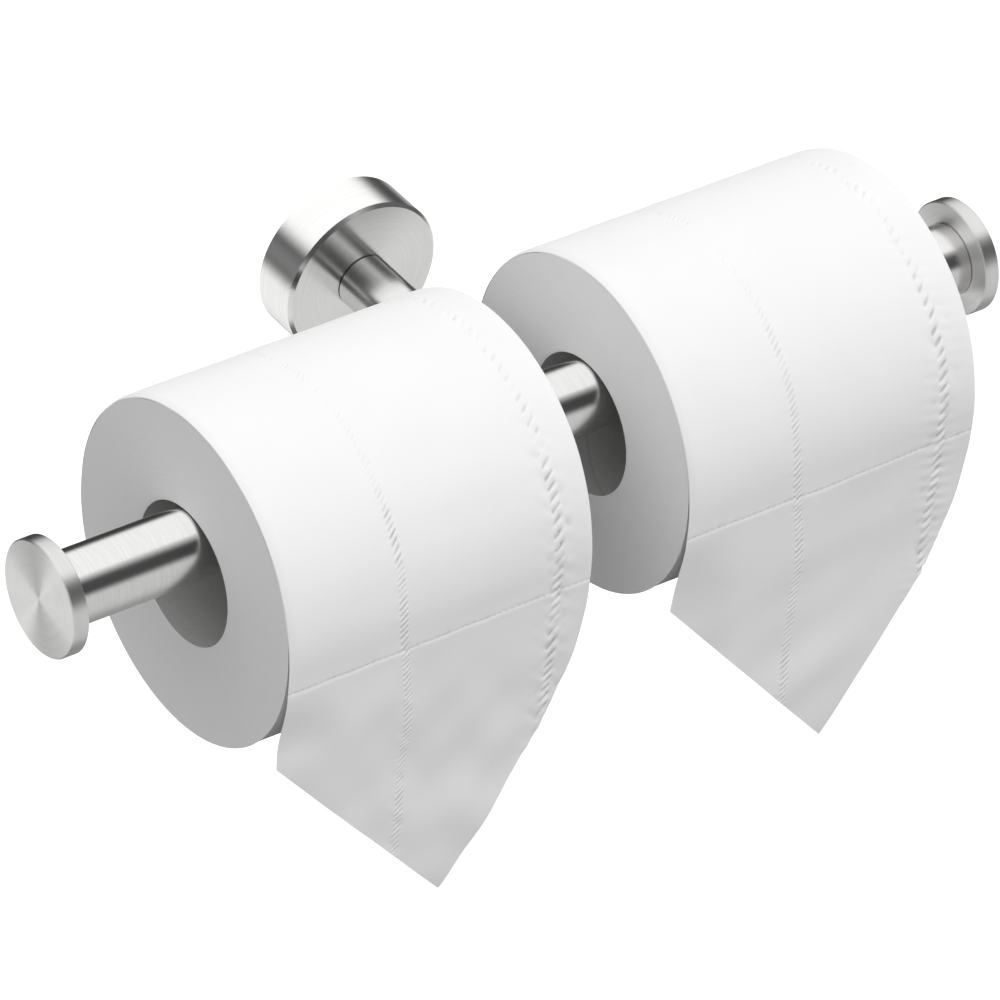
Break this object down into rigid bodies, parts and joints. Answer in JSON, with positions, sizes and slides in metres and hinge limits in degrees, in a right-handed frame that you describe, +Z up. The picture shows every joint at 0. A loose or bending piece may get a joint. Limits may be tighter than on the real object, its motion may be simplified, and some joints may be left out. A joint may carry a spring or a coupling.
{
  "type": "toilet paper holder",
  "caption": "Wall-mounted bathroom holder: a round rosette and post carry a horizontal crossbar with disc ends, with a toilet roll hanging on each side of the post.",
  "frame": {"origin": "centre of the rosette on the wall plane", "axes": "+Z up, +Y into the wall (the holder stands out of the wall towards -Y), +X along the crossbar towards the right end cap as seen from the room"},
  "size_m": [0.314, 0.1557, 0.1517],
  "materials": {
    "brushed_stainless": "fine hairline brushing",
    "turned_stainless": "circular turned brushing",
    "bracket_steel": "plain machined",
    "screw_steel": "plain rolled",
    "black_washer": "matt black",
    "core_board": "grey-white board",
    "tissue": "soft white tissue"
  },
  "bodies": {
    "holder": {"wall_bracket": "bracket_steel", "bracket_screws": "screw_steel", "rosette": "brushed_stainless", "grub_screw": "screw_steel", "tie_screw": "screw_steel", "tie_washer": "screw_steel", "post_washer": "black_washer", "post": "brushed_stainless", "crossbar": "brushed_stainless", "bar_nut": "bracket_steel", "left_end_cap": "turned_stainless", "left_cap_washer": "black_washer", "right_end_cap": "turned_stainless", "right_cap_washer": "black_washer"},
    "left_sheet_body": {"left_sheet": "tissue"},
    "left_roll": {"left_core": "core_board", "left_paper": "tissue"},
    "right_sheet_body": {"right_sheet": "tissue"},
    "right_roll": {"right_core": "core_board", "right_paper": "tissue"}
  },
  "joints": [
    {"name": "left_slide", "type": "slide", "parent": "holder", "child": "left_sheet_body", "axis": [1, 0, 0], "range_m": [-0.0415, 0.0012]},
    {"name": "left_spin", "type": "hinge", "parent": "left_sheet_body", "child": "left_roll", "pos_m": [-0.06, -0.089, -0.01005], "axis": [1, 0, 0], "continuous": true},
    {"name": "right_slide", "type": "slide", "parent": "holder", "child": "right_sheet_body", "axis": [1, 0, 0], "range_m": [-0.0142, 0.0285]},
    {"name": "right_spin", "type": "hinge", "parent": "right_sheet_body", "child": "right_roll", "pos_m": [0.073, -0.089, -0.01005], "axis": [1, 0, 0], "continuous": true}
  ]
}
